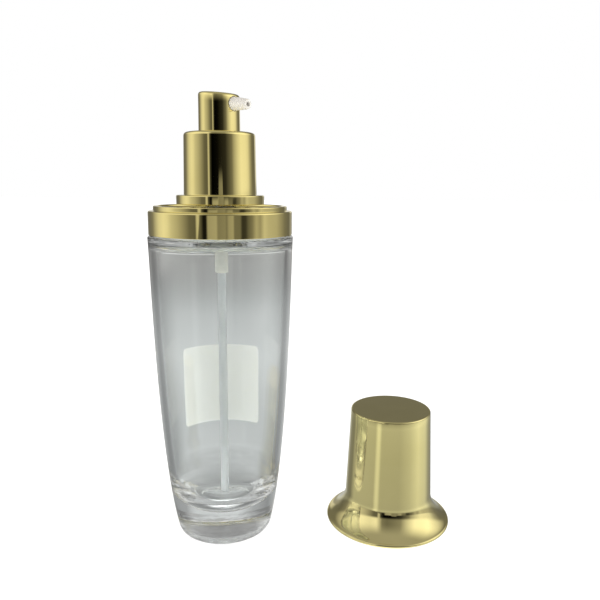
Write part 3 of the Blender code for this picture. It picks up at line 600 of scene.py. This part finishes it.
def cut_hole(obj, matrix, radius, start, end):
    """Cut a round hole along a matrix's Z between two distances, all in mm."""
    bm = lathe([(0.0, end), (radius, end), (radius, start), (0.0, start)], THIN, closed=False)
    bmesh.ops.recalc_face_normals(bm, faces=bm.faces)
    bmesh.ops.transform(bm, matrix=Matrix.Scale(MM, 4) @ matrix, verts=bm.verts)
    mesh = bpy.data.meshes.new("hole")
    bm.to_mesh(mesh)
    bm.free()
    tool = bpy.data.objects.new("hole", mesh)
    bpy.context.scene.collection.objects.link(tool)
    step = obj.modifiers.new("Hole", "BOOLEAN")
    step.operation = "DIFFERENCE"
    step.solver = "EXACT"
    step.object = tool
    bpy.context.view_layer.update()
    cut = bpy.data.meshes.new_from_object(obj.evaluated_get(bpy.context.evaluated_depsgraph_get()))
    obj.modifiers.clear()
    obj.data = cut
    bpy.data.objects.remove(tool)


def nozzle_matrix():
    """Turns a piece's own Z to the nozzle's direction, at the nozzle's height on the head's axis."""
    turn = Matrix.Rotation(NOZZLE_ANGLE, 4, "Z") @ Matrix.Rotation(math.radians(90.0) + HEAD_SLOPE, 4, "Y")
    return Matrix.Translation(axis_of("stem") + Vector((0.0, 0.0, NOZZLE_Z))) @ turn


def actuator_shell(gold):
    """Cup of the push head, with a hole for the nozzle in its side."""
    inner_r = HEAD_TOP_R - HEAD_WALL
    roof_z = HEAD_TOP_Z - HEAD_ROOF
    top = [(HEAD_FLAT_R * k / 6, HEAD_TOP_Z) for k in range(6)]
    wall = rounded([
        (HEAD_FLAT_R, HEAD_TOP_Z, 0), (HEAD_TOP_R, HEAD_TOP_Z, 0.95), (*HEAD_BEND, 0.8),
        (HEAD_R, HEAD_BOTTOM_Z, 0.15), (inner_r, HEAD_BOTTOM_Z, 0), (inner_r, roof_z, 0),
    ], 8)
    bm = lathe(top + wall + [(0.0, roof_z)], ROUND, closed=False, shape=slope_towards_nozzle)
    shell = solid("head_gold", bm, axis_of("stem"), gold, "head", ["actuator_shell"])
    cut_hole(shell, nozzle_matrix(), NOZZLE_ROOT_R + NOZZLE_HOLE_GAP, NOZZLE_HOLE_FROM, NOZZLE_HOLE_TO)
    even_normals(shell)


def nozzle_insert():
    """Tapered spout with a rolled tip round its outlet."""
    profile = rounded([
        (NOZZLE_BORE_R, NOZZLE_END, 0.2), (NOZZLE_TIP_R, NOZZLE_END, 0.42),
        (NOZZLE_ROOT_R, NOZZLE_COLLAR, 0.25), (NOZZLE_SEAT_R, NOZZLE_COLLAR, 0),
        (NOZZLE_SEAT_R, NOZZLE_START, 0), (NOZZLE_BORE_R, NOZZLE_START, 0),
    ])
    bm = lathe(profile, SLIM)
    bmesh.ops.transform(bm, matrix=nozzle_matrix(), verts=bm.verts)
    milky = moulded("nozzle_milky", (0.48, 0.455, 0.42), (0.535, 0.51, 0.47))
    solid("spout", bm, Vector((0.0, 0.0, 0.0)), milky, "head", ["nozzle_insert"])


def overcap_shell(gold):
    """Flat-topped shell with a slight taper and a wide flared brim."""
    top = [(CAP_FLAT_R * k / 8, CAP_HEIGHT) for k in range(8)]
    waist = (CAP_WAIST_R, CAP_WAIST_Z, 0)
    edge = rounded([(CAP_FLAT_R, CAP_HEIGHT, 0), (CAP_TOP_R, CAP_HEIGHT, 0.5), waist], 8)
    start = edge[-2]
    wall = [(start[0] + (CAP_WAIST_R - start[0]) * t, start[1] + (CAP_WAIST_Z - start[1]) * t)
            for t in spread(0.0, 1.0, 12)[1:-1]]
    brim = bezier(FLARE_CURVE, 36) + bezier(RIM_CURVE, 10)[1:]
    ceiling = CAP_HEIGHT - CAP_WALL
    inside = rounded([(*CAP_INNER_WAIST, 0), (CAP_TOP_R - CAP_WALL, ceiling, 0.5), (0.0, ceiling, 0)])
    profile = top + edge[:-1] + wall + brim + bezier(HOLLOW_CURVE, 24)[:-1] + inside
    bm = lathe(profile, ROUND, closed=False)
    solid("cap_gold", bm, axis_of("overcap_shell"), gold, "overcap", ["overcap_shell"])


def pump_housing():
    """Barrel, sloped shoulder and tail; its chamber is open to the tube."""
    profile = rounded([
        (BARREL_BORE_R, PUMP_TOP_Z, 0), (PUMP_FLANGE_R, PUMP_TOP_Z, 0.15),
        (PUMP_FLANGE_R, PUMP_FLANGE_Z, 0.1), (BARREL_R, PUMP_FLANGE_Z, 0),
        (BARREL_R, BARREL_FOOT_Z, 0.4), (*BARREL_HEEL, 0.4),
        (*TAIL_TOP, 0.5), (TAIL_FOOT_R, TAIL_FOOT_Z, 0.15),
        (TAIL_SOCKET_R, TAIL_FOOT_Z, 0.1), (TAIL_SOCKET_R, TAIL_SOCKET_TOP_Z, 0),
        (INLET_R, INLET_FOOT_Z, 0), (INLET_R, INLET_TOP_Z, 0),
        (BALL_CAGE_R, BALL_CAGE_FOOT_Z, 0), (BALL_CAGE_R, BALL_CAGE_TOP_Z, 0),
        (CAGE_LIP_R, CAGE_LIP_Z, 0), (CAGE_LIP_R, CAGE_RIM_Z, 0), (CAGE_RIM_R, CAGE_RIM_Z, 0),
        (CAGE_RIM_R, BARREL_BORE_FOOT_Z, 0), (BARREL_BORE_R, BARREL_BORE_FOOT_Z, 0),
    ], 4)
    ivory = moulded("housing_ivory", (0.42, 0.42, 0.38), (0.49, 0.485, 0.44), Subsurface_Weight=0.5)
    solid("pump_barrel", lathe(profile, SLIM), axis_of("pump_housing"), ivory, "pump", ["pump_housing"])


def dip_tube():
    """Thin tube cut square at its foot."""
    heights = spread(TUBE_TOP_Z, TUBE_FOOT_Z, 40)
    profile = [(TUBE_BORE_R, z) for z in heights[::-1]] + [(TUBE_R, z) for z in heights]
    milky = moulded("tube_milky", (0.80, 0.82, 0.82), (0.87, 0.89, 0.89),
                    Transmission_Weight=0.75, Subsurface_Weight=0.1)
    solid("suction_tube", lathe(profile, THIN), axis_of("dip_tube"), milky, "pump", ["dip_tube"])


def return_spring():
    """Wire coiled evenly between the chamber floor and the rod."""
    low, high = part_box("return_spring")
    bottom = low.z / MM + WIRE_R
    rise = (high.z - low.z) / MM - 2 * WIRE_R
    upward = Vector((0, 0, 1))
    bm = bmesh.new()
    rings = []
    count = round(COIL_TURNS * STEPS_PER_TURN)
    for k in range(count + 1):
        angle = 2 * math.pi * k / STEPS_PER_TURN
        centre = Vector((COIL_R * math.cos(angle), COIL_R * math.sin(angle), bottom + rise * k / count))
        outward = Vector((math.cos(angle), math.sin(angle), 0.0))
        ring = []
        for s in range(WIRE_SIDES):
            a = 2 * math.pi * s / WIRE_SIDES
            ring.append(bm.verts.new(centre + WIRE_R * (math.cos(a) * outward + math.sin(a) * upward)))
        rings.append(ring)
    for ring, after in zip(rings, rings[1:]):
        for s in range(WIRE_SIDES):
            n = (s + 1) % WIRE_SIDES
            bm.faces.new((ring[s], ring[n], after[n], after[s]))
    bm.faces.new(rings[0])
    bm.faces.new(rings[-1])
    wire = steel("spring_steel")
    spring = solid("coil_spring", bm, axis_of("pump_housing"), wire, "pump", ["return_spring"])
    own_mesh(spring)


def dress_hidden_nodes():
    """The inner CAD pieces keep their shape and get moulded or steel materials."""
    ivory = moulded("inner_ivory", (0.82, 0.81, 0.75), (0.88, 0.87, 0.82))
    white = moulded("inner_white", (0.88, 0.89, 0.88), (0.93, 0.94, 0.93))
    foam = moulded("gasket_foam", (0.86, 0.87, 0.86), (0.92, 0.93, 0.92), Subsurface_Weight=0.5)
    finishes = {
        "shoulder_ring_liner": ivory, "screw_closure": ivory, "housing_lock_ring": ivory, "stem": ivory,
        "piston_rod": ivory, "actuator_core": ivory, "overcap_liner": ivory, "piston": white,
        "neck_gasket": foam, "check_ball": steel("ball_steel"),
    }
    for name, material in finishes.items():
        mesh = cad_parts[name].data
        mesh.materials.clear()
        mesh.materials.append(material)


# ================================================================ stage, light and camera

def painted_floor_shadow(m, foot):
    """Painted shadow: make the floor's glow a little darker round the bottle's foot."""
    away = m.node("ShaderNodeVectorMath")
    away.operation = "DISTANCE"
    m.link(m.where, away.inputs[0])
    away.inputs[1].default_value = foot
    # painted shadow: the glow rises from the bottle's foot out to SHADE_REACH shoulder radii
    light = m.ranged(away.outputs["Value"], SHADE_BY_FOOT, SHADE_FAR_OFF, GLASS_FOOT_R * MM,
                     SHADE_REACH * GLASS_SHOULDER_R * MM)
    m.link(light, m.surface.inputs["Emission Strength"])


def floor():
    """A pale floor that only the camera sees, with a painted shadow round the bottle's foot; the grey table
    in reflections is in the world.
    """
    bm = bmesh.new()
    bmesh.ops.create_grid(bm, x_segments=8, y_segments=8, size=FLOOR_HALF)
    mesh = bpy.data.meshes.new("floor")
    bm.to_mesh(mesh)
    bm.free()
    obj = bpy.data.objects.new("floor", mesh)
    bpy.context.scene.collection.objects.link(obj)
    obj.location.z = -FLOOR_DROP
    m = Shader("pale_floor", Roughness=1.0, Base_Color=(0.35, 0.35, 0.35, 1.0), Emission_Color=(1, 1, 1, 1),
               Specular_IOR_Level=0.0)
    # painted shadow: the floor's glow is dimmed round the bottle's foot
    painted_floor_shadow(m, axis_of("glass_bottle") * MM)
    mesh.materials.append(m.material)
    for flag in ("visible_diffuse", "visible_glossy", "visible_transmission", "visible_shadow"):
        setattr(obj, flag, False)


# Light of the studio, as (degrees, brightness) stops. Azimuth is 0 on the -Y side, where the camera
# stands, and grows towards +X. ROOM and HIGH are the walls, low down and higher up.
ROOM = (
    (-180, 0.80), (-160, 0.75), (-153, 0.20), (-138, 0.16), (-124, 0.26), (-114, 0.55),
    (-104, 0.83), (-92, 0.97), (-84, 0.90), (-75, 0.68), (-63, 0.52), (-52, 0.33), (-42, 0.16),
    (-32, 0.13), (-30, 0.62), (-27, 0.66), (-24, 0.06), (-18, 0.0), (0, 0.004), (25, 0.03),
    (35, 0.11), (45, 0.21), (52, 0.46), (65, 0.82), (77, 1.08), (95, 1.04), (106, 0.90),
    (118, 0.45), (130, 0.20), (150, 0.16), (158, 0.75), (180, 0.80),
)
HIGH = (
    (-180, 0.20), (-140, 0.20), (-112, 0.95), (-80, 1.25), (-50, 1.0), (-34, 1.1), (-20, 0.24),
    (-8, 0.18), (5, 0.22), (25, 0.30), (42, 0.8), (60, 1.3), (95, 1.5), (118, 0.9), (136, 0.20),
    (180, 0.20),
)
# The table by azimuth, and by elevation below the horizon.
TABLE_SIDE = (
    (-180, 0.52), (-170, 0.56), (-162, 0.54), (-150, 0.28), (-130, 0.24), (-112, 0.56), (-74, 0.54),
    (-48, 0.52), (-41, 0.86), (-36, 0.86), (-30, 0.52), (20, 0.50), (50, 0.64), (78, 0.90),
    (108, 0.78), (126, 0.38), (152, 0.26), (164, 0.48), (180, 0.52),
)
TABLE_DEPTH = (
    (-90, 1.7), (-74, 1.5), (-63, 0.5), (-45, 0.80), (-28, 0.90), (-20, 1.05), (-16, 1.22),
    (-12, 1.02), (-8, 0.64), (0, 0.58),
)
# The far edge of the table, and the part of it close round the bottle.
EDGE = (
    (-180, 0.38), (-158, 0.38), (-146, 0.16), (-126, 0.22), (-111, 0.46), (-24, 0.12), (-20, 0.01),
    (-15, 0.01), (-12.5, 0.40), (0, 0.46), (3, 0.25), (14, 0.29), (16, 0.20), (19, 0.38),
    (26, 0.43), (28, 0.20), (37, 0.19), (40, 0.04), (46, 0.05), (50, 0.14), (57, 0.24), (64, 0.50),
    (71, 0.38), (79, 0.68), (87, 0.58), (105, 0.52), (116, 0.37), (129, 0.22), (146, 0.16),
    (158, 0.38), (180, 0.38),
)
TABLE_NEAR = (
    (-180, 0.50), (-165, 0.46), (-150, 0.26), (-125, 0.30), (-105, 0.70), (-75, 1.7), (75, 1.7),
    (105, 0.80), (130, 0.30), (150, 0.26), (165, 0.46), (180, 0.50),
)
# Elevation of the table's far edge by azimuth, in degrees.
HORIZON = (
    (-180, 0), (-135, -2), (-125, -10), (-40, -10), (-33, -8), (-22, -1), (1, -1), (3, 2.6),
    (14, 2.6), (16, -1), (38, -1), (50, 0), (180, 0),
)
HORIZON_RANGE = 10.0          # HORIZON's degrees stay within this on both sides of level
# Each blend runs between two elevations in degrees; HORIZON_BLEND's count from HORIZON.
HORIZON_BLEND = (-0.8, 1.2)
NEAR_BLEND = (-35.0, -27.0)
EDGE_BLEND = (-12.0, -7.0)
HIGH_BLEND = (8.0, 17.0)
ZENITH_BLEND = (28.0, 62.0)
ZENITH = 0.42
TABLE_TINT = (0.975, 1.0, 0.995)
ROOM_TINT = (1.0, 0.99, 0.965)
WHITE = (1.0, 1.0, 1.0)
FILL = 3.1                    # matt surfaces get this many times the light that reflections show
BOUNCES = 32


class World:
    """The world's node tree, with helpers for the nodes of the studio."""

    def __init__(self):
        self.world = bpy.data.worlds.new("studio")
        bpy.context.scene.world = self.world
        self.world.use_nodes = True
        self.tree = self.world.node_tree
        self.tree.nodes.clear()

    def node(self, kind, *links, **settings):
        """A node with its first inputs linked or set, in order."""
        made = self.tree.nodes.new(kind)
        for key, value in settings.items():
            setattr(made, key, value)
        for socket, source in zip(made.inputs, links):
            if isinstance(source, bpy.types.NodeSocket):
                self.tree.links.new(source, socket)
            else:
                socket.default_value = source
        return made

    def math(self, operation, *links):
        return self.node("ShaderNodeMath", *links, operation=operation).outputs[0]

    def ramp(self, value, stops, tint):
        """A tinted brightness that follows (degrees, brightness) stops from -180 to 180."""
        made = self.node("ShaderNodeValToRGB", value)
        elements = made.color_ramp.elements
        while len(elements) > 1:
            elements.remove(elements[-1])
        for k, (degrees, light) in enumerate(stops):
            spot = elements[0] if k == 0 else elements.new(degrees / 360 + 0.5)
            spot.position = degrees / 360 + 0.5
            spot.color = (*(light * c for c in tint), 1.0)
        return made.outputs["Color"]

    def multiply(self, a, b):
        """The product of two colours."""
        return self.node("ShaderNodeVectorMath", a, b, operation="MULTIPLY").outputs[0]

    def step(self, angle, blend):
        """0 below the first angle of a blend, 1 above the second, and smooth between them."""
        low, high = (math.radians(degrees) for degrees in blend)
        made = self.node("ShaderNodeMapRange", angle, low, high, 0.0, 1.0, interpolation_type="SMOOTHSTEP")
        return made.outputs["Result"]

    def mix(self, share, a, b):
        """a where the share is 0 and b where it is 1."""
        made = self.tree.nodes.new("ShaderNodeMix")
        made.data_type = "RGBA"
        for socket, source in ((made.inputs[0], share), (made.inputs[6], a), (made.inputs[7], b)):
            if isinstance(source, bpy.types.NodeSocket):
                self.tree.links.new(source, socket)
            else:
                socket.default_value = (*source, 1.0)
        return made.outputs[2]


def room_light(w):
    """A grey room: a table below the horizon, walls with window bands, and a plain ceiling."""
    direction = w.node("ShaderNodeTexCoord").outputs["Generated"]
    parts = w.node("ShaderNodeSeparateXYZ", direction).outputs
    azimuth = w.math("ARCTAN2", parts[0], w.math("MULTIPLY", parts[1], -1.0))
    turn = w.math("MULTIPLY_ADD", azimuth, 1 / (2 * math.pi), 0.5)
    elevation = w.math("ARCSINE", parts[2])
    depth = w.math("MULTIPLY_ADD", elevation, 2 / math.pi, 1.0)
    room = w.ramp(turn, ROOM, ROOM_TINT)
    high = w.ramp(turn, HIGH, ROOM_TINT)
    close = w.ramp(turn, TABLE_NEAR, TABLE_TINT)
    side = w.mix(w.step(elevation, NEAR_BLEND), close, w.ramp(turn, TABLE_SIDE, TABLE_TINT))
    # A ramp's stops span a whole turn, so the quarter turn from -90 to 0 degrees is stretched to it.
    dim = w.ramp(depth, [(d * 4 + 180, v) for d, v in TABLE_DEPTH], WHITE)
    table = w.mix(w.step(elevation, EDGE_BLEND), w.multiply(side, dim), w.ramp(turn, EDGE, ROOM_TINT))
    span = 2 * HORIZON_RANGE
    level = w.ramp(turn, [(d, (e + HORIZON_RANGE) / span) for d, e in HORIZON], WHITE)
    horizon = w.math("MULTIPLY_ADD", level, math.radians(span), math.radians(-HORIZON_RANGE))
    above = w.math("SUBTRACT", elevation, horizon)
    upper = w.mix(w.step(elevation, HIGH_BLEND), room, high)
    upper = w.mix(w.step(elevation, ZENITH_BLEND), upper, (ZENITH,) * 3)
    return w.mix(w.step(above, HORIZON_BLEND), table, upper)


def studio():
    """The room lights the pieces, matt ones more strongly, and the camera sees plain white behind them."""
    w = World()
    lit = room_light(w)
    rays = w.node("ShaderNodeLightPath").outputs
    matt = w.math("GREATER_THAN", rays["Diffuse Depth"], 0.5)
    soft = w.node("ShaderNodeBackground", lit, w.math("MULTIPLY_ADD", matt, FILL - 1.0, 1.0))
    white = w.node("ShaderNodeBackground", (1.0, 1.0, 1.0, 1.0), 1.0)
    mixed = w.node("ShaderNodeMixShader", rays["Is Camera Ray"], soft.outputs[0], white.outputs[0])
    w.node("ShaderNodeOutputWorld", mixed.outputs[0])
    bpy.context.scene.view_settings.view_transform = "Standard"
    bpy.context.scene.cycles.max_bounces = BOUNCES
    bpy.context.scene.cycles.transmission_bounces = BOUNCES
    bpy.context.scene.cycles.glossy_bounces = BOUNCES


def camera():
    """Just above the shoulder ring, looking 10.6 degrees down between the bottle and its overcap."""
    data = bpy.data.cameras.new("camera")
    data.sensor_width = CAMERA_SENSOR
    data.lens = CAMERA_LENS
    data.clip_start = MM
    obj = bpy.data.objects.new("camera", data)
    bpy.context.scene.collection.objects.link(obj)
    obj.location = (axis_of("glass_bottle") + Vector(CAMERA_FROM_BOTTLE)) * MM
    tilt = Matrix.Rotation(math.radians(90.0) - CAMERA_DOWN, 4, "X") @ Matrix.Rotation(CAMERA_ROLL, 4, "Z")
    obj.rotation_euler = tilt.to_euler()
    bpy.context.scene.camera = obj


def build():
    """Every piece of the object."""
    gold = polished_gold()
    glass_bottle()
    back_label()
    shoulder_ring(gold)
    closure_sleeve(gold)
    actuator_shell(gold)
    nozzle_insert()
    overcap_shell(satin_gold())
    pump_housing()
    dip_tube()
    return_spring()
    dress_hidden_nodes()


build()
floor()
studio()
camera()
